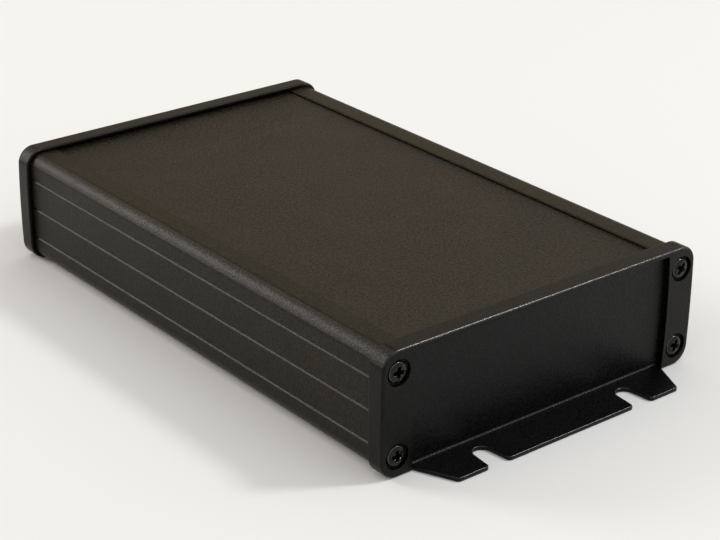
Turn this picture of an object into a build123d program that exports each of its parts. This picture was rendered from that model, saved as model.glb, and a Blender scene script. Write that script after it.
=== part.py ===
"""Black aluminium instrument enclosure with a slide-in cover and flanged end panels.

A U-shaped extrusion is open along its top, where a flat cover slides in under the lips of two rails.
A sheet panel closes each end. Its lower edge is bent outwards into a slotted mounting flange.
A moulded bezel wraps each end of the extrusion and the rim of its panel, and four pan-head screws
hold bezel and panel to the screw channels in the extrusion's corners.

Millimetres. X is the width, Y the length and +Z up. The front is at -Y. The origin is on the ground
under the middle of the box: the bezels and the flanges all rest at z = 0.
"""
import math
import os

from build123d import *

# Extrusion, outside and walls
BODY_LENGTH = 162.0
BODY_WIDTH = 103.0
BODY_HEIGHT = 32.3
BODY_CORNER = 3.8
SIDE_WALL = 1.7
BASE_WALL = 1.8

# Rails along the open top, and the cover held in them
RAIL_WIDTH = 8.9
RAIL_LIP = 0.6
RAIL_LEDGE = 1.2
COVER_THICKNESS = 1.5
COVER_GRIP = 1.8
COVER_FIT = 0.1

# Decorative grooves along each side, V-shaped, their middle one a little below mid-height
GROOVE_COUNT = 3
GROOVE_PITCH = 8.9
GROOVE_DROP = 0.25
GROOVE_WIDTH = 0.8
GROOVE_DEPTH = 0.4

# Ribs inside each side wall, with the slots for a circuit board between them
RIB_COUNT = 4
RIB_THICKNESS = 1.2
RIB_REACH = 2.2
BOARD_SLOT = 2.0

# Screws, and the channels that they cut their thread in
SCREW_INSET_X = 3.55
SCREW_INSET_Z = 4.95
SCREW_SHANK = 3.0
SCREW_LENGTH = 10.0
SCREW_FIT = 0.1
SCREW_HOLE_FIT = 0.5
HEAD_DIAMETER = 5.7
HEAD_HEIGHT = 1.1
HEAD_RIM = 0.55
HEAD_TOP = 4.4
CROSS_SPAN = 3.2
CROSS_WIDTH = 1.1
CROSS_DEPTH = 0.9
CROSS_TURNS = {"upper_left": 5.0, "upper_right": 35.0, "lower_left": 0.0, "lower_right": 22.0}
CHANNEL_WALL = 1.45
CHANNEL_MOUTH = 1.4

# End panel of bent sheet, and its mounting flange
PANEL_THICKNESS = 1.2
BEND_RADIUS = 0.6
BEND_RELIEF = 0.8
FLANGE_REACH = 12.5
FLANGE_FIT = 0.35
FLANGE_TAPER = 4.9
FLANGE_CORNER = 1.3
SLOT_INSET = 13.05
SLOT_WIDTH = 5.2
SLOT_DEPTH = 8.7
SLOT_FLARE = 0.65
SLOT_LIP = 1.1

# Bezel round each end, its wall thinner under the body than at the sides and top
BEZEL_WALL = 1.05
BEZEL_FLOOR = 0.65
BEZEL_FIT = 0.1
BEZEL_PLATE = 1.6
BEZEL_GRIP = 2.6
BEZEL_BOW = 0.4
BEZEL_FRONT_EDGE = 0.4
BEZEL_BACK_EDGE = 0.4
BAND_WIDTH = 9.6
BAND_FOOT = 0.8
WINDOW_BOW = 0.6
TOP_RIM = 1.4
HEAD_RECESS = 7.0
HEAD_RECESS_DEPTH = 1.2

# Overshoot of a cutting shape past the face that it cuts
PAST = 2.0

# Levels and planes that several pieces share
BODY_BOTTOM = BEZEL_FLOOR + BEZEL_FIT
BODY_TOP = BODY_BOTTOM + BODY_HEIGHT
MID_HEIGHT = BODY_BOTTOM + BODY_HEIGHT / 2
LEDGE_TOP = BODY_TOP - RAIL_LIP - COVER_FIT - COVER_THICKNESS
RAIL_EDGE = BODY_WIDTH / 2 - RAIL_WIDTH
BODY_END = -BODY_LENGTH / 2
PANEL_FACE = BODY_END - PANEL_THICKNESS
BEZEL_FACE = PANEL_FACE - BEZEL_PLATE
HEAD_SEAT = BEZEL_FACE + HEAD_RECESS_DEPTH
FLANGE_TIP = PANEL_FACE - FLANGE_REACH

BEZEL_WIDTH = BODY_WIDTH + 2 * (BEZEL_WALL + BEZEL_FIT)
BEZEL_HEIGHT = BODY_TOP + BEZEL_FIT + BEZEL_WALL
BEZEL_CORNER = BODY_CORNER + BEZEL_WALL + BEZEL_FIT
WINDOW_HALF = BEZEL_WIDTH / 2 - BAND_WIDTH
FLANGE_HALF = WINDOW_HALF - FLANGE_FIT

SCREW_X = BODY_WIDTH / 2 - SCREW_INSET_X
SCREW_RISE = BODY_HEIGHT / 2 - SCREW_INSET_Z
SCREW_PLACES = {
    "upper_left": (-SCREW_X, MID_HEIGHT + SCREW_RISE),
    "upper_right": (SCREW_X, MID_HEIGHT + SCREW_RISE),
    "lower_left": (-SCREW_X, MID_HEIGHT - SCREW_RISE),
    "lower_right": (SCREW_X, MID_HEIGHT - SCREW_RISE),
}


def rectangle(x0, x1, z0, z1):
    """Rectangle in the sketch plane between two corners."""
    return Pos((x0 + x1) / 2, (z0 + z1) / 2) * Rectangle(x1 - x0, z1 - z0)


def along_length(section, y0, y1):
    """Section drawn in x and z, made solid from the plane y0 to the plane y1."""
    return extrude(Plane((0, y1, 0), x_dir=(1, 0, 0), z_dir=(0, -1, 0)) * section, y1 - y0)


def body_outline():
    """Rounded outline that the extrusion and its end panels share."""
    return Pos(0, MID_HEIGHT) * RectangleRounded(BODY_WIDTH, BODY_HEIGHT, BODY_CORNER)


def side_groove(side, height):
    """One V groove, cut in from the outside of a side wall."""
    outside = side * BODY_WIDTH / 2
    mouth = GROOVE_WIDTH / 2
    corners = [(outside, height + mouth), (outside - side * GROOVE_DEPTH, height), (outside, height - mouth)]
    return make_face(Polyline(*corners, close=True))


def body_extrusion():
    """Channel with rails, board ribs and screw channels, as one profile drawn out to its length."""
    inner = BODY_WIDTH / 2 - SIDE_WALL
    ledge_bottom = LEDGE_TOP - RAIL_LEDGE
    section = body_outline()
    section -= rectangle(-inner, inner, BODY_BOTTOM + BASE_WALL, ledge_bottom)
    section -= rectangle(-RAIL_EDGE, RAIL_EDGE, MID_HEIGHT, BODY_TOP + PAST)

    rib_pitch = RIB_THICKNESS + BOARD_SLOT
    for side in (-1, 1):
        for i in range(RIB_COUNT):
            height = MID_HEIGHT + (i - (RIB_COUNT - 1) / 2) * rib_pitch
            rib = Rectangle(RIB_REACH + SIDE_WALL, RIB_THICKNESS)
            section += Pos(side * (BODY_WIDTH / 2 - (RIB_REACH + SIDE_WALL) / 2), height) * rib

    bore = SCREW_SHANK / 2 + SCREW_FIT
    for x, z in SCREW_PLACES.values():
        channel = Pos(x, z) * Circle(bore + CHANNEL_WALL)
        root = Pos(x + math.copysign(SCREW_INSET_X, x) / 2, z + math.copysign(SCREW_INSET_Z, z - MID_HEIGHT) / 2)
        channel += root * Rectangle(SCREW_INSET_X, SCREW_INSET_Z)
        section += channel & body_outline()
    for x, z in SCREW_PLACES.values():
        towards_middle = -math.copysign(bore + CHANNEL_WALL + PAST, x)
        section -= Pos(x, z) * Circle(bore)
        section -= Pos(x + towards_middle / 2, z) * Rectangle(abs(towards_middle), CHANNEL_MOUTH)

    groove_reach = RAIL_EDGE + COVER_GRIP + COVER_FIT
    section -= rectangle(-groove_reach, groove_reach, LEDGE_TOP, LEDGE_TOP + COVER_THICKNESS + COVER_FIT)
    for side in (-1, 1):
        for i in range(GROOVE_COUNT):
            step = i - (GROOVE_COUNT - 1) / 2
            section -= side_groove(side, MID_HEIGHT - GROOVE_DROP + step * GROOVE_PITCH)
    return along_length(section, BODY_END, -BODY_END)


def slide_cover():
    """Flat plate lying on the ledges of both rails, its long edges under their lips."""
    half = RAIL_EDGE + COVER_GRIP
    return along_length(rectangle(-half, half, LEDGE_TOP, LEDGE_TOP + COVER_THICKNESS), BODY_END, -BODY_END)


def flange_slot(centre):
    """Open-ended slot in plan: a round inner end, and sides that open slightly towards the flange's edge."""
    half = SLOT_WIDTH / 2
    round_centre = FLANGE_TIP + SLOT_DEPTH - half
    past_tip = FLANGE_TIP - PAST
    flare = SLOT_FLARE * (round_centre - past_tip) / (round_centre - FLANGE_TIP)
    sides = Polyline(
        (centre - half, round_centre),
        (centre + half, round_centre),
        (centre + half + flare, past_tip),
        (centre - half - flare, past_tip),
        close=True,
    )
    return make_face(sides) + Pos(centre, round_centre) * Circle(half)


def flange_plan():
    """Flange from above: tapered ends with round corners, and two slots with round lips."""
    tip_half = FLANGE_HALF - FLANGE_TAPER
    plan = make_face(
        Polyline(
            (-FLANGE_HALF, BODY_END),
            (-FLANGE_HALF, BEZEL_FACE),
            (-tip_half, FLANGE_TIP),
            (tip_half, FLANGE_TIP),
            (FLANGE_HALF, BEZEL_FACE),
            (FLANGE_HALF, BODY_END),
            close=True,
        )
    )
    for side in (-1, 1):
        plan -= flange_slot(side * (tip_half - SLOT_INSET))
    at_tip = plan.vertices().filter_by(lambda v: abs(v.Y - FLANGE_TIP) < 0.001).sort_by(Axis.X)
    plan = fillet(at_tip[1:-1], SLOT_LIP)
    at_tip = plan.vertices().filter_by(lambda v: abs(v.Y - FLANGE_TIP) < 0.001).sort_by(Axis.X)
    return fillet([at_tip[0], at_tip[-1]], FLANGE_CORNER)


def flanged_panel():
    """End panel of one sheet: full plate behind the bezel, bent outwards between its bands into the flange."""
    bend_top = PANEL_THICKNESS + BEND_RADIUS
    relief_half = FLANGE_HALF + BEND_RELIEF
    plate_section = body_outline() - rectangle(-relief_half, relief_half, -PAST, bend_top)
    hole = (SCREW_SHANK + SCREW_HOLE_FIT) / 2
    for x, z in SCREW_PLACES.values():
        plate_section -= Pos(x, z) * Circle(hole)
    plate = along_length(plate_section, PANEL_FACE, BODY_END)

    # The bent strip is drawn from the side, in y and z
    side_view = make_face(
        Polyline(
            (BODY_END, MID_HEIGHT),
            (BODY_END, 0),
            (FLANGE_TIP, 0),
            (FLANGE_TIP, PANEL_THICKNESS),
            (PANEL_FACE, PANEL_THICKNESS),
            (PANEL_FACE, MID_HEIGHT),
            close=True,
        )
    )
    outer_bend = side_view.vertices().sort_by_distance((BODY_END, 0, 0))[0]
    side_view = fillet(outer_bend, bend_top)
    inner_bend = side_view.vertices().sort_by_distance((PANEL_FACE, PANEL_THICKNESS, 0))[0]
    side_view = fillet(inner_bend, BEND_RADIUS)
    strip = extrude(Plane.YZ * side_view, FLANGE_HALF, both=True)
    return plate + (strip & extrude(flange_plan(), MID_HEIGHT))


def bowed_outline(width, height, bow, corner):
    """Outline with straight top and bottom, sides that bow outwards and round corners."""
    x, z = width / 2, height / 2
    right = ThreePointArc((x, -z), (x + bow, 0), (x, z))
    left = ThreePointArc((-x, z), (-x - bow, 0), (-x, -z))
    face = make_face([right, Line((x, z), (-x, z)), left, Line((-x, -z), (x, -z))])
    return fillet(face.vertices(), corner) if corner else face


def window():
    """Opening between the bands: bowed sides, closed by the top rim and open below for the flange."""
    window_top = BEZEL_HEIGHT - TOP_RIM
    opening = Pos(0, window_top / 2) * bowed_outline(2 * WINDOW_HALF, window_top, WINDOW_BOW, 0)
    opening += rectangle(-WINDOW_HALF - PAST, WINDOW_HALF + PAST, -PAST, 0)
    feet = opening.vertices().filter_by(lambda v: abs(v.Y) < 0.001 and abs(abs(v.X) - WINDOW_HALF) < 0.001)
    return fillet(feet, BAND_FOOT)


def end_bezel():
    """Moulded frame: a band with two screws at each side, a thin top rim, and a skirt round the body's end."""
    depth = BEZEL_PLATE + PANEL_THICKNESS + BEZEL_GRIP
    skirt_end = BEZEL_FACE + depth
    outline = Pos(0, BEZEL_HEIGHT / 2) * bowed_outline(BEZEL_WIDTH, BEZEL_HEIGHT, BEZEL_BOW, BEZEL_CORNER)
    frame = along_length(outline, BEZEL_FACE, skirt_end)
    front_edges = frame.faces().sort_by(Axis.Y)[0].edges()
    frame = chamfer(front_edges, BEZEL_FRONT_EDGE)
    back_edges = frame.faces().sort_by(Axis.Y)[-1].edges()
    frame = chamfer(back_edges, BEZEL_BACK_EDGE)

    frame -= along_length(offset(body_outline(), BEZEL_FIT), PANEL_FACE, skirt_end + PAST)
    frame -= along_length(window(), BEZEL_FACE - PAST, BODY_END)
    for x, z in SCREW_PLACES.values():
        recess = Pos(x, z) * Circle(HEAD_RECESS / 2)
        hole = Pos(x, z) * Circle((SCREW_SHANK + SCREW_HOLE_FIT) / 2)
        frame -= along_length(recess, BEZEL_FACE - PAST, HEAD_SEAT)
        frame -= along_length(hole, BEZEL_FACE - PAST, PANEL_FACE + PAST)
    return frame


def end_screw():
    """Pan-head thread-forming screw along +Y, its head's seat at y = 0, with a cross recess."""
    head, shank = HEAD_DIAMETER / 2, SCREW_SHANK / 2
    half_profile = make_face(
        Polyline(
            (0, SCREW_LENGTH),
            (shank, SCREW_LENGTH),
            (shank, 0),
            (head, 0),
            (head, -HEAD_RIM),
            (HEAD_TOP / 2, -HEAD_HEIGHT),
            (0, -HEAD_HEIGHT),
            close=True,
        )
    )
    screw = revolve(half_profile, Axis.Y)
    cross = Rectangle(CROSS_SPAN, CROSS_WIDTH) + Rectangle(CROSS_WIDTH, CROSS_SPAN)
    return screw - along_length(cross, -HEAD_HEIGHT, CROSS_DEPTH - HEAD_HEIGHT)


def at_both_ends(piece):
    """The front piece, and the same piece turned end for end."""
    return {"front": piece, "rear": Rot(0, 0, 180) * piece}


def all_pieces():
    """Every sub-part by its node name."""
    pieces = {"body_extrusion": body_extrusion(), "slide_cover": slide_cover()}
    for end, piece in at_both_ends(flanged_panel()).items():
        pieces[f"{end}_flanged_panel"] = piece
    for end, piece in at_both_ends(end_bezel()).items():
        pieces[f"{end}_bezel"] = piece

    screw = end_screw()
    for place, (x, z) in SCREW_PLACES.items():
        seated = Pos(x, HEAD_SEAT, z) * Rot(0, CROSS_TURNS[place], 0) * screw
        pieces[f"front_screw_{place}"] = seated
        pieces[f"rear_screw_{place}"] = mirror(seated, Plane.XZ)
    return pieces


os.makedirs("parts", exist_ok=True)
for node, shape in all_pieces().items():
    shape.label = node
    export_step(shape, f"parts/{node}.step")
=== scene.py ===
"""Looks of the black aluminium enclosure: grained satin finishes, rounded edges, studio floor and light.

Metres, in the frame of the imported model: X is the width, Y the length, +Z up, and the front end is at -Y.
"""
import math
from contextlib import contextmanager

import bmesh
import bpy
from mathutils import Matrix, Vector


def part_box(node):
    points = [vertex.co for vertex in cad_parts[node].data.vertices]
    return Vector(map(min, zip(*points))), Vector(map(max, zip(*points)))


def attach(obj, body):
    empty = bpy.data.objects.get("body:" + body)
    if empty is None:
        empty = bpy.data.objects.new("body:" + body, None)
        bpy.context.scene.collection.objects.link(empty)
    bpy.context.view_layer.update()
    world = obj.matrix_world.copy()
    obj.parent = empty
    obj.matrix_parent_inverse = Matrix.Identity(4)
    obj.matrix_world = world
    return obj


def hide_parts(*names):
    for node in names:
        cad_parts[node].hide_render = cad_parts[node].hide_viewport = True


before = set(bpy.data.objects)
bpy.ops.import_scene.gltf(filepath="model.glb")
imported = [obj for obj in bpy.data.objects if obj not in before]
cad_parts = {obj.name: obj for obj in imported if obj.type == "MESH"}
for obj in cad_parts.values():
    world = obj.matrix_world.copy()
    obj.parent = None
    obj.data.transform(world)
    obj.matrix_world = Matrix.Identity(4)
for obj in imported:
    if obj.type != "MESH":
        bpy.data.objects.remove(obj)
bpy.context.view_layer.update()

MM = 0.001

# Camera, from the photograph's perspective
IMAGE_WIDTH_PX = 720
FOCAL_PX = 1964.5
CAMERA_PLACE = Vector((-0.31130, -0.39297, 0.23999))
CAMERA_AZIMUTH = math.radians(-39.095)
CAMERA_ELEVATION = math.radians(24.564)
CAMERA_ROLL = math.radians(0.64)
SENSOR_WIDTH_MM = 36.0
NEAREST_SEEN = 0.01

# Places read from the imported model
BODY_LOW, BODY_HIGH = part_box("body_extrusion")
BEZEL_LOW, BEZEL_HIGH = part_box("front_bezel")
BODY_END = BODY_LOW.y
BEZEL_FACE = BEZEL_LOW.y
SKIRT_END = BEZEL_HIGH.y
BEZEL_HEIGHT = BEZEL_HIGH.z
BODY_MIDDLE = (BODY_LOW.z + BODY_HIGH.z) / 2
BODY_HALF_HEIGHT = (BODY_HIGH.z - BODY_LOW.z) / 2

# Body and panel
BODY_CORNER = 3.8 * MM
RAIL_EDGE = 47.0 * MM      # from the middle of the width, between the rails' inner edges and outer roundings
SHEET = 1.2 * MM
PANEL_FACE = BODY_END - SHEET
FLANGE_ROOT = 83.7 * MM    # from the middle of the length, just behind the bezel's face

# Bezel
BEZEL_BOW = 0.4 * MM
BEZEL_HALF = BEZEL_HIGH.x - BEZEL_BOW
BEZEL_CORNER = 4.95 * MM
BEZEL_FIT = 0.1 * MM
FRONT_ROUND = 0.7 * MM
BACK_ROUND = 0.5 * MM
BAND_WIDTH = 9.6 * MM
BAND_FOOT = 0.8 * MM
FOOT_DROP = 0.1            # share of the foot's radius that its centre lies below the side's lowest point
TOP_RIM = 1.4 * MM
WINDOW_BOW = 0.6 * MM
WINDOW_HALF = BEZEL_HALF - BAND_WIDTH
WINDOW_REACH = 0.93        # share of the side's lower half that is above the foot
HEAD_RECESS = 3.5 * MM
RECESS_DEPTH = 1.2 * MM
SCREW_HOLE = 1.75 * MM
PAST = 2.0 * MM            # how far a cutting tool reaches past what it cuts

# Screws
HEAD_SEAT = BEZEL_FACE + RECESS_DEPTH
HEAD_RADIUS = 2.85 * MM
HEAD_RIM = 0.30 * MM
HEAD_HEIGHT = 1.3 * MM
CROWN_POWER = 0.8          # under 1 makes the crown flatter on top than an ellipse
SHANK_RADIUS = 1.5 * MM
SCREW_LENGTH = 10.0 * MM
SCREW_POINT = 0.9 * MM
POINT_TAPER = 0.6
CROSS_SPAN = 3.7 * MM
CROSS_WIDTH = 1.25 * MM
CROSS_DEPTH = 1.9 * MM
CROSS_TAPER = 0.45
CROSS_TURNS = {"upper_left": 5.0, "upper_right": 35.0, "lower_left": 0.0, "lower_right": 22.0}

# Small roundings of edges that are sharp in the solid model
SHEET_EDGE = 0.30 * MM
EXTRUSION_EDGE = 0.36 * MM
GROOVE_SHARE = 0.27
COVER_EDGE = 0.12 * MM
MOULDING_EDGE = 0.18 * MM
CROSS_EDGE = 0.13 * MM

# Steps of the curves
EDGE_STEPS = 3
ROUND_STEPS = 6
CORNER_STEPS = 12
SIDE_STEPS = 4
POCKET_STEPS = 10
WINDOW_STEPS = 12
FOOT_STEPS = 5
CROWN_STEPS = 9
TURN_STEPS = 48

# Tolerances and limits of the mesh work
SAME_POINT = 0.002 * MM
WELD = 0.004 * MM
SAME_PLACE = 0.01 * MM
PLANAR = math.radians(0.5)
SHARP = math.radians(28)
FLAT_FACE_WEIGHT = 90
UPPER_EDGE_TILT = (0.30, 0.96)     # range of a face normal's z
SCREW_RIM_TILT = (0.50, 0.84)      # range of a face normal's y, of either sign

# Finishes: darker and lighter tone, roughness, specular level, and the grain's size and height in mm.
# The first of each piece is its slot in the record. Those after it are lighter, glossier copies with painted
# highlights, for its upward-facing edges and bends.
FINISHES = {
    "body_anodised": ((0.0026, 0.0020, 0.0004), (0.0204, 0.0168, 0.0052), 0.35, 0.145, 0.68, 0.17),
    # Painted highlight: lighter, glossier copy of the body's finish for its upward-facing roundings and
    # groove lips.
    "body_painted_highlight_edge": ((0.0024, 0.0020, 0.0010), (0.0190, 0.0164, 0.0110), 0.33, 0.40, 0.76, 0.19),
    "cover_anodised": ((0.0016, 0.0010, 0.0004), (0.0280, 0.0220, 0.0136), 0.35, 0.18, 0.75, 0.22),
    "panel_anodised": ((0.0002, 0.0002, 0.0003), (0.0040, 0.0040, 0.0042), 0.28, 0.16, 0.64, 0.13),
    # Painted highlight: lighter, glossier copy of the panel's finish for the upward-facing faces in its bend.
    "panel_painted_highlight_bend": ((0.0003, 0.0003, 0.0003), (0.0060, 0.0060, 0.0060), 0.26, 0.23, 0.80, 0.22),
    # Painted highlight: lighter, glossier copy of the panel's finish for the flange's upward-facing rim.
    "panel_painted_highlight_rim": ((0.0020, 0.0020, 0.0020), (0.0080, 0.0080, 0.0082), 0.22, 0.62, 0.60, 0.05),
    "bezel_moulding": ((0.0004, 0.0003, 0.0001), (0.0046, 0.0042, 0.0026), 0.31, 0.145, 0.60, 0.11),
    # Painted highlight: lighter, glossier copy of the moulding for its upward-facing front edge.
    "bezel_painted_highlight_front": ((0.0010, 0.0010, 0.0008), (0.0080, 0.0078, 0.0070), 0.20, 0.55, 0.60, 0.06),
    # Painted highlight: lighter, glossier copy of the moulding for its upward-facing upper corners.
    "bezel_painted_highlight_corner": ((0.0004, 0.0003, 0.0001), (0.0060, 0.0056, 0.0044), 0.31, 0.38, 0.76, 0.19),
    "screw_steel": ((0.0008, 0.0008, 0.0008), (0.0030, 0.0029, 0.0025), 0.14, 0.26, 0.40, 0.012),
    # Painted glints: lighter, glossier copy of the steel for the crown's rim and the cross's edges.
    "screw_painted_glint_rim": ((0.0020, 0.0020, 0.0020), (0.0060, 0.0060, 0.0060), 0.15, 0.80, 0.40, 0.012),
}
GRAIN_DETAIL = 4.0
GRAIN_ROUGHNESS = 0.7
CLOUD_SCALE = 60.0
CLOUD_DETAIL = 4.0
GRAIN_SHARE = 0.9          # of the tone's pattern, and the rest is clouds
TONE_RANGE = (0.42, 0.60)  # pattern values of the darker and the lighter tone
GLOSS_RANGE = (0.3, 0.7)   # grain values of the glossiest and the dullest spots
GLOSS_SPREAD = 0.06        # of the roughness, either side of the finish's own

# Floor and light
FLOOR_HALF = 4.0
FLOOR_COLOUR = (0.86, 0.862, 0.855)
FLOOR_ROUGHNESS = 0.9
FLOOR_SPECULAR = 0.1
LAMP_DISTANCE = 1.5
SOFTBOXES = {              # direction, size and radiance
    "back_softbox": ((-0.53, 0.71, 0.46), 0.50, 8.5),
    "front_softbox": ((0.567, -0.41, 0.72), 0.21, 51.0),
}

# Surround: dim and warm low down at the back, white above and in front
BRIGHT_SIDE = (0.25, -0.45, 0.86)
BRIGHT_FROM, BRIGHT_FULL = 0.0, 0.8
DIM_WALL = (0.50, 0.395, 0.29)
BRIGHT_CEILING = (0.82, 0.83, 0.83)


def linked(name, data):
    """New object in the scene that holds the mesh, lamp or camera."""
    obj = bpy.data.objects.new(name, data)
    bpy.context.scene.collection.objects.link(obj)
    return obj


def apply_modifiers(obj):
    """Turn the object's modifiers into real mesh."""
    graph = bpy.context.evaluated_depsgraph_get()
    mesh = bpy.data.meshes.new_from_object(obj.evaluated_get(graph))
    obj.modifiers.clear()
    obj.data = mesh


@contextmanager
def editing(mesh):
    """The mesh as a bmesh, which is written back at the end."""
    bm = bmesh.new()
    bm.from_mesh(mesh)
    yield bm
    bm.to_mesh(mesh)
    bm.free()


def tidy_mesh(mesh):
    """Join loose corners and make each flat region one face."""
    with editing(mesh) as bm:
        bmesh.ops.remove_doubles(bm, verts=bm.verts, dist=SAME_POINT)
        bmesh.ops.dissolve_limit(bm, angle_limit=PLANAR, verts=bm.verts, edges=bm.edges)


def weld(mesh):
    """Join corners that have come together, and drop the faces that this leaves without area."""
    with editing(mesh) as bm:
        bmesh.ops.remove_doubles(bm, verts=bm.verts, dist=WELD)
        bmesh.ops.dissolve_degenerate(bm, dist=WELD, edges=bm.edges)


def round_edges(obj, width, share=None):
    """Round the sharp edges by the width, or by each one's share of it, where 0 leaves an edge sharp."""
    with editing(obj.data) as bm:
        weight = bm.edges.layers.float.new("bevel_weight_edge")
        for edge in bm.edges:
            if edge.is_manifold and edge.calc_face_angle() > SHARP:
                edge[weight] = share(edge) if share else 1
                edge.smooth = edge[weight] > 0
    bevel = obj.modifiers.new("edge_rounds", "BEVEL")
    bevel.width = width
    bevel.segments = EDGE_STEPS
    bevel.limit_method = "WEIGHT"
    bevel.use_clamp_overlap = False
    bevel.miter_outer = "MITER_ARC"
    apply_modifiers(obj)
    obj.data.polygons.foreach_set("use_smooth", [True] * len(obj.data.polygons))
    obj.data.update()
    shade_flat_faces(obj)


def shade_flat_faces(obj):
    """Shade flat faces flat, so that the roundings alone take up the turn between them."""
    normals = obj.modifiers.new("flat_faces", "WEIGHTED_NORMAL")
    normals.weight = FLAT_FACE_WEIGHT
    normals.keep_sharp = True


def outside_hidden_plane(edge):
    """Share of the rounding on the bezel: none round the face that lies on the panel."""
    return 0 if all(abs(v.co.y - PANEL_FACE) < SAME_PLACE for v in edge.verts) else 1


def on_flange(edge):
    """Share of the rounding on the panel: only the flange's rim, as the rest is behind the bezel."""
    return 1 if all(abs(v.co.y) > FLANGE_ROOT for v in edge.verts) else 0


def along_extrusion(edge):
    """Share of the rounding on the body: none at its sawn ends, and most on the rails' upper inner edges."""
    if abs(edge.verts[0].co.y - edge.verts[1].co.y) < SAME_PLACE:
        return 0
    x, _, z = edge.verts[0].co
    return 1 if z > BODY_HIGH.z - SAME_PLACE and abs(x) < RAIL_EDGE else GROOVE_SHARE


def looks_up(face):
    """True for rounded faces between level and upright, on an upper edge."""
    return UPPER_EDGE_TILT[0] < face.normal.z < UPPER_EDGE_TILT[1]


def on_body_edge(face):
    """True for the body's upper roundings and for the lips of its side grooves, where a highlight is painted.
    """
    return looks_up(face) and abs(face.center.x) > BODY_HIGH.x - BODY_CORNER


def on_bend(face):
    """True for the rounded faces inside the panel's bend, where a highlight is painted."""
    return looks_up(face) and abs(PANEL_FACE) < abs(face.center.y) < FLANGE_ROOT


def on_flange_rim(face):
    """True for the rounded faces along the flange's upper rim, where a highlight is painted."""
    return looks_up(face) and abs(face.center.y) > FLANGE_ROOT


def on_bezel_corner(face):
    """True for the rounded faces at the bezel's upper corners, where a highlight is painted."""
    x, _, z = face.center
    return looks_up(face) and abs(x) > BEZEL_HALF - BEZEL_CORNER and z > BEZEL_HEIGHT - BEZEL_CORNER


def on_bezel_front(face):
    """True for the rounded faces along the bezel's upper front edge, where a highlight is painted."""
    _, y, z = face.center
    return looks_up(face) and y < BEZEL_FACE + FRONT_ROUND and z > BEZEL_HEIGHT - FRONT_ROUND


def on_screw_rim(face):
    """True for the slanted faces near the rim of the screw's crown and round its cross, where glints are
    painted.
    """
    return face.center.y < -HEAD_RIM and SCREW_RIM_TILT[0] < abs(face.normal.y) < SCREW_RIM_TILT[1]


def shaped(name, bm):
    """New object from the bmesh, with all its faces turned outwards."""
    bmesh.ops.recalc_face_normals(bm, faces=bm.faces)
    mesh = bpy.data.meshes.new(name)
    bm.to_mesh(mesh)
    bm.free()
    return linked(name, mesh)


def skinned(name, loops):
    """Closed solid through loops that have as many points each."""
    bm = bmesh.new()
    rings = [[bm.verts.new(point) for point in loop] for loop in loops]
    bm.faces.new(rings[0])
    bm.faces.new(rings[-1])
    for a, b in zip(rings, rings[1:]):
        for i in range(len(a)):
            j = (i + 1) % len(a)
            bm.faces.new((a[i], a[j], b[j], b[i]))
    return shaped(name, bm)


def prism(name, outline, y0, y1):
    """Closed prism along the length, from an outline of (x, z) points."""
    return skinned(name, [[(x, y, z) for x, z in outline] for y in (y0, y1)])


def lathe(name, profile):
    """Solid turned about the Y axis from (radius, y) points that start and end on the axis."""
    bm = bmesh.new()
    turns = [math.tau * i / TURN_STEPS for i in range(TURN_STEPS)]
    rings = []
    for radius, y in profile:
        around = turns if radius else turns[:1]
        rings.append([bm.verts.new((radius * math.cos(t), y, radius * math.sin(t))) for t in around])
    for a, b in zip(rings, rings[1:]):
        for i in range(TURN_STEPS):
            j = (i + 1) % TURN_STEPS
            corners = [a[i % len(a)], a[j % len(a)], b[j % len(b)], b[i % len(b)]]
            bm.faces.new(list(dict.fromkeys(corners)))
    return shaped(name, bm)


def cut(obj, tool):
    """Take the tool's volume out of the object, and delete the tool."""
    boolean = obj.modifiers.new("cut", "BOOLEAN")
    boolean.operation = "DIFFERENCE"
    boolean.solver = "EXACT"
    boolean.object = tool
    apply_modifiers(obj)
    bpy.data.objects.remove(tool)


def arc(centre, radius, start, end, steps):
    """Points of an arc, with their outward directions; angles in radians."""
    out = []
    for i in range(steps + 1):
        angle = start + (end - start) * i / steps
        way = (math.cos(angle), math.sin(angle))
        out.append(((centre[0] + radius * way[0], centre[1] + radius * way[1]), way))
    return out


def raised(outline, height):
    """The outline moved up."""
    return [(x, z + height) for x, z in outline]


def bowed_outline(half_width, half_height, bow, corner, inset):
    """Outline round (0, 0) with straight top and bottom, bowed sides and round corners, moved in by inset."""
    side_radius = (half_height ** 2 + bow ** 2) / (2 * bow)
    side_centre = half_width + bow - side_radius
    rise = half_height - corner
    corner_centre = (side_centre + math.sqrt((side_radius - corner) ** 2 - rise ** 2), rise)
    meet = math.asin(rise / (side_radius - corner))
    quarter = arc((side_centre, 0), side_radius, 0, meet, SIDE_STEPS)
    quarter += arc(corner_centre, corner, meet, math.pi / 2, CORNER_STEPS)[1:]
    moved = [(p[0] - inset * w[0], p[1] - inset * w[1]) for p, w in quarter]
    upper = moved + [(-x, z) for x, z in reversed(moved)]
    return upper + [(x, -z) for x, z in reversed(upper[1:-1])]


def rounded_outline(half_width, half_height, corner):
    """Rounded rectangle round (0, 0)."""
    centre = (half_width - corner, half_height - corner)
    quarter = [p for p, _ in arc(centre, corner, 0, math.pi / 2, POCKET_STEPS)]
    upper = quarter + [(-x, z) for x, z in reversed(quarter)]
    return upper + [(x, -z) for x, z in reversed(upper)]


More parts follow.
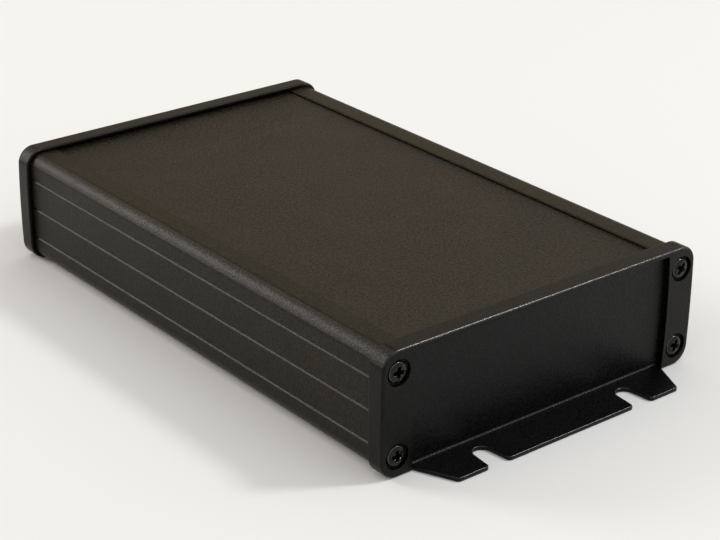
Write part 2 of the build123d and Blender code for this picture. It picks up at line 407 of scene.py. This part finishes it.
def window_outline():
    """Opening between the bands, open below, with rounded feet."""
    middle = (BEZEL_HEIGHT - TOP_RIM) / 2
    radius = (middle ** 2 + WINDOW_BOW ** 2) / (2 * WINDOW_BOW)
    centre = (WINDOW_HALF + WINDOW_BOW - radius, middle)
    span = math.asin(middle / radius)
    side = [p for p, _ in arc(centre, radius, -span * WINDOW_REACH, span, WINDOW_STEPS)]
    foot_centre = (side[0][0] + BAND_FOOT, side[0][1] - BAND_FOOT * FOOT_DROP)
    foot = [p for p, _ in arc(foot_centre, BAND_FOOT, math.pi, math.pi * 1.5, FOOT_STEPS)]
    foot = raised(foot, -foot[-1][1])
    right = [(foot[-1][0], -PAST)] + list(reversed(foot)) + side[1:]
    return right + [(-x, z) for x, z in reversed(right)]


def quarter_round(end, radius, inwards):
    """(y, inset) pairs of the rounding at one end of the bezel, from the end inwards (1 or -1 along Y)."""
    turns = [math.pi / 2 * (1 - i / ROUND_STEPS) for i in range(ROUND_STEPS + 1)]
    return [(end + inwards * radius * (1 - math.sin(t)), radius * (1 - math.cos(t))) for t in turns]


def bezel_blank():
    """Bezel before its cut-outs: the bowed outline, rounded at its front and at its skirt's end."""
    stations = quarter_round(BEZEL_FACE, FRONT_ROUND, 1)
    stations += reversed(quarter_round(SKIRT_END, BACK_ROUND, -1))
    half_height = BEZEL_HEIGHT / 2
    loops = []
    for y, inset in stations:
        outline = bowed_outline(BEZEL_HALF, half_height, BEZEL_BOW, BEZEL_CORNER, inset)
        loops.append([(x, y, z) for x, z in raised(outline, half_height)])
    return skinned("front_bezel_moulding", loops)


def make_bezels(places):
    """Both bezels: one moulding, and the same one turned end for end."""
    front = bezel_blank()
    pocket = rounded_outline(BODY_HIGH.x + BEZEL_FIT, BODY_HALF_HEIGHT + BEZEL_FIT, BODY_CORNER + BEZEL_FIT)
    cut(front, prism("pocket", raised(pocket, BODY_MIDDLE), PANEL_FACE, SKIRT_END + PAST))
    cut(front, prism("window", window_outline(), BEZEL_FACE - PAST, BODY_END))
    bore = [
        (0, BEZEL_FACE - PAST),
        (HEAD_RECESS, BEZEL_FACE - PAST),
        (HEAD_RECESS, HEAD_SEAT),
        (SCREW_HOLE, HEAD_SEAT),
        (SCREW_HOLE, PANEL_FACE + PAST),
        (0, PANEL_FACE + PAST),
    ]
    for x, z in places.values():
        tool = lathe("bore", bore)
        tool.location = (x, 0, z)
        cut(front, tool)
    tidy_mesh(front.data)
    round_edges(front, MOULDING_EDGE, outside_hidden_plane)
    for vertex in front.data.vertices:
        vertex.co.z = max(vertex.co.z, 0)     # it stands on z = 0, and nothing reaches below
    weld(front.data)
    rear = linked("rear_bezel_moulding", front.data)
    rear.matrix_world = Matrix.Rotation(math.pi, 4, "Z")
    shade_flat_faces(rear)
    finish(front, "bezel_moulding", "front_bezel")
    finish(rear, "bezel_moulding", "rear_bezel")
    # Painted highlights on the bezel's upper corners and upper front edge.
    paint_highlight(front, "bezel_painted_highlight_corner", on_bezel_corner)
    paint_highlight(front, "bezel_painted_highlight_front", on_bezel_front)


def screw_places():
    """(x, z) of the four screws' axes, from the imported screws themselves."""
    places = {}
    for place in CROSS_TURNS:
        low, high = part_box(f"front_screw_{place}")
        places[place] = ((low.x + high.x) / 2, (low.z + high.z) / 2)
    return places


def screw_blank():
    """Domed head, shank and blunt point, turned about the Y axis, its seat at y = 0."""
    rise = HEAD_HEIGHT - HEAD_RIM
    crown = [(0, -HEAD_HEIGHT)]
    for i in range(1, CROWN_STEPS):
        angle = math.pi / 2 * i / CROWN_STEPS
        out, up = math.sin(angle) ** CROWN_POWER, math.cos(angle) ** CROWN_POWER
        crown.append((HEAD_RADIUS * out, -HEAD_RIM - rise * up))
    rest = [
        (HEAD_RADIUS, -HEAD_RIM),
        (HEAD_RADIUS, 0),
        (SHANK_RADIUS, 0),
        (SHANK_RADIUS, SCREW_LENGTH - SCREW_POINT),
        (SHANK_RADIUS * POINT_TAPER, SCREW_LENGTH),
        (0, SCREW_LENGTH),
    ]
    return lathe("screw", crown + rest)


def cross_tool():
    """Tapered cross that cuts the driver recess."""
    half, arm = CROSS_SPAN / 2, CROSS_WIDTH / 2
    outline = []
    for i in range(4):
        c, s = math.cos(math.pi / 2 * i), math.sin(math.pi / 2 * i)
        outline += [(x * c - z * s, x * s + z * c) for x, z in ((half, -arm), (half, arm), (arm, arm))]
    above = -HEAD_HEIGHT - PAST / 4
    bottom = CROSS_DEPTH - HEAD_HEIGHT
    ends = ((above, 1), (bottom, CROSS_TAPER))
    return skinned("cross", [[(x * size, y, z * size) for x, z in outline] for y, size in ends])


def make_screws(places):
    """All eight screws, from one mesh."""
    model = screw_blank()
    cut(model, cross_tool())
    tidy_mesh(model.data)
    round_edges(model, CROSS_EDGE)
    apply_modifiers(model)
    mesh = model.data
    bpy.data.objects.remove(model)
    for place, (x, z) in places.items():
        turn = Matrix.Rotation(math.radians(CROSS_TURNS[place]), 4, "Y")
        front = linked(f"front_{place}_screw", mesh)
        front.matrix_world = Matrix.Translation((x, HEAD_SEAT, z)) @ turn
        finish(front, "screw_steel", f"front_screw_{place}")
        rear = linked(f"rear_{place}_screw", mesh)
        rear.matrix_world = Matrix.Translation((x, -HEAD_SEAT, z)) @ Matrix.Rotation(math.pi, 4, "Z") @ turn
        finish(rear, "screw_steel", f"rear_screw_{place}")
    # Painted glints on the rims and cross edges of all the screws, which share this mesh.
    paint_highlight(front, "screw_painted_glint_rim", on_screw_rim)


def edged_copy(node, name, width, material, share=None):
    """The node's own shape with its sharp edges rounded."""
    obj = linked(name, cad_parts[node].data.copy())
    tidy_mesh(obj.data)
    round_edges(obj, width, share)
    finish(obj, material, node)
    return obj


def make_housing():
    """Body, cover and both flanged panels."""
    body = edged_copy("body_extrusion", "extruded_body", EXTRUSION_EDGE, "body_anodised", along_extrusion)
    # Painted highlight on the body's upward-facing roundings and groove lips.
    paint_highlight(body, "body_painted_highlight_edge", on_body_edge)
    edged_copy("slide_cover", "top_cover", COVER_EDGE, "cover_anodised")
    for end in ("front", "rear"):
        node, name = f"{end}_flanged_panel", f"{end}_panel"
        panel = edged_copy(node, name, SHEET_EDGE, "panel_anodised", on_flange)
        # Painted highlight in the bend.
        paint_highlight(panel, "panel_painted_highlight_bend", on_bend)
        # Painted highlight along the flange's upper rim.
        paint_highlight(panel, "panel_painted_highlight_rim", on_flange_rim)


def finish(obj, material, node):
    """Give the piece its material, and let it stand for its node."""
    obj.data.materials.clear()
    obj.data.materials.append(MATERIALS[material])
    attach(obj, "root")
    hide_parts(node)


def paint_highlight(obj, material, chosen):
    """One more material on the mesh's chosen faces: a lighter, glossier copy that paints a highlight on them.
    """
    obj.data.materials.append(MATERIALS[material])
    for face in obj.data.polygons:
        if chosen(face):
            face.material_index = len(obj.data.materials) - 1


def shader_node(tree, kind, values, **settings):
    """New shader node with its settings, and values on its inputs."""
    node = tree.nodes.new(kind)
    for name, value in settings.items():
        setattr(node, name, value)
    for name, value in values.items():
        node.inputs[name].default_value = value
    return node


def grained(name, darker, lighter, roughness, specular, grain_size, grain_height):
    """Fine-grained satin black: two close tones, uneven gloss and a fine bump."""
    material = bpy.data.materials.new(name)
    material.use_nodes = True
    tree = material.node_tree
    link = tree.links.new
    shader = tree.nodes["Principled BSDF"]
    shader.inputs["Specular IOR Level"].default_value = specular
    place = shader_node(tree, "ShaderNodeTexCoord", {})

    grain = shader_node(tree, "ShaderNodeTexNoise", {
        "Scale": 1 / (grain_size * MM), "Detail": GRAIN_DETAIL, "Roughness": GRAIN_ROUGHNESS})
    clouds = shader_node(tree, "ShaderNodeTexNoise", {"Scale": CLOUD_SCALE, "Detail": CLOUD_DETAIL})
    link(place.outputs["Object"], grain.inputs["Vector"])
    link(place.outputs["Object"], clouds.inputs["Vector"])

    specks = shader_node(tree, "ShaderNodeMix", {"Factor": GRAIN_SHARE})
    link(clouds.outputs["Fac"], specks.inputs["A"])
    link(grain.outputs["Fac"], specks.inputs["B"])
    spread = shader_node(tree, "ShaderNodeMapRange", {"From Min": TONE_RANGE[0], "From Max": TONE_RANGE[1]})
    link(specks.outputs["Result"], spread.inputs["Value"])
    tone = shader_node(tree, "ShaderNodeMix", {"A": (*darker, 1), "B": (*lighter, 1)}, data_type="RGBA")
    link(spread.outputs["Result"], tone.inputs["Factor"])
    link(tone.outputs["Result"], shader.inputs["Base Color"])

    gloss = shader_node(tree, "ShaderNodeMapRange", {
        "From Min": GLOSS_RANGE[0], "From Max": GLOSS_RANGE[1],
        "To Min": roughness - GLOSS_SPREAD, "To Max": roughness + GLOSS_SPREAD})
    link(grain.outputs["Fac"], gloss.inputs["Value"])
    link(gloss.outputs["Result"], shader.inputs["Roughness"])

    bump = shader_node(tree, "ShaderNodeBump", {"Strength": 1.0, "Distance": grain_height * MM})
    link(grain.outputs["Fac"], bump.inputs["Height"])
    link(bump.outputs["Normal"], shader.inputs["Normal"])
    return material


MATERIALS = {name: grained(name, *look) for name, look in FINISHES.items()}


def make_stage():
    """Pale floor, much larger than the view."""
    half = FLOOR_HALF
    corners = [(-half, -half, 0), (half, -half, 0), (half, half, 0), (-half, half, 0)]
    mesh = bpy.data.meshes.new("floor")
    mesh.from_pydata(corners, [], [(0, 1, 2, 3)])
    floor = linked("floor", mesh)
    material = bpy.data.materials.new("floor_paper")
    material.use_nodes = True
    shader = material.node_tree.nodes["Principled BSDF"]
    shader.inputs["Base Color"].default_value = (*FLOOR_COLOUR, 1)
    shader.inputs["Roughness"].default_value = FLOOR_ROUGHNESS
    shader.inputs["Specular IOR Level"].default_value = FLOOR_SPECULAR
    mesh.materials.append(material)


def softbox(name, direction, size, radiance):
    """Square area lamp that points at the origin, from a direction."""
    lamp = bpy.data.lights.new(name, "AREA")
    lamp.shape = "SQUARE"
    lamp.size = size
    lamp.energy = radiance * math.pi * size ** 2
    obj = linked(name, lamp)
    way = Vector(direction).normalized()
    obj.location = way * LAMP_DISTANCE
    obj.rotation_mode = "QUATERNION"
    obj.rotation_quaternion = way.to_track_quat("Z", "Y")


def make_lights():
    """Softbox low behind on the left, a smaller one high on the right in front, and a graded surround."""
    for name, lamp in SOFTBOXES.items():
        softbox(name, *lamp)
    world = bpy.data.worlds.new("studio")
    bpy.context.scene.world = world
    world.use_nodes = True
    tree = world.node_tree
    link = tree.links.new
    place = shader_node(tree, "ShaderNodeTexCoord", {})
    bright_side = Vector(BRIGHT_SIDE).normalized()
    along = shader_node(tree, "ShaderNodeVectorMath", {1: bright_side}, operation="DOT_PRODUCT")
    link(place.outputs["Generated"], along.inputs[0])
    share = shader_node(tree, "ShaderNodeMapRange", {"From Min": BRIGHT_FROM, "From Max": BRIGHT_FULL})
    link(along.outputs["Value"], share.inputs["Value"])
    tones = {"A": (*DIM_WALL, 1), "B": (*BRIGHT_CEILING, 1)}
    shade = shader_node(tree, "ShaderNodeMix", tones, data_type="RGBA")
    link(share.outputs["Result"], shade.inputs["Factor"])
    link(shade.outputs["Result"], tree.nodes["Background"].inputs["Color"])


def make_camera():
    """Camera at the photograph's viewpoint."""
    camera = bpy.data.cameras.new("camera")
    camera.sensor_fit = "HORIZONTAL"
    camera.sensor_width = SENSOR_WIDTH_MM
    camera.lens = FOCAL_PX / IMAGE_WIDTH_PX * SENSOR_WIDTH_MM
    camera.clip_start = NEAREST_SEEN
    obj = linked("camera", camera)
    turn = Matrix.Rotation(CAMERA_AZIMUTH, 4, "Z")
    tilt = Matrix.Rotation(math.pi / 2 - CAMERA_ELEVATION, 4, "X")
    roll = Matrix.Rotation(CAMERA_ROLL, 4, "Z")
    obj.matrix_world = Matrix.Translation(CAMERA_PLACE) @ turn @ tilt @ roll
    bpy.context.scene.camera = obj


make_camera()
make_housing()
screws = screw_places()
make_bezels(screws)
make_screws(screws)
make_stage()
make_lights()
bpy.context.scene.view_settings.view_transform = "Standard"
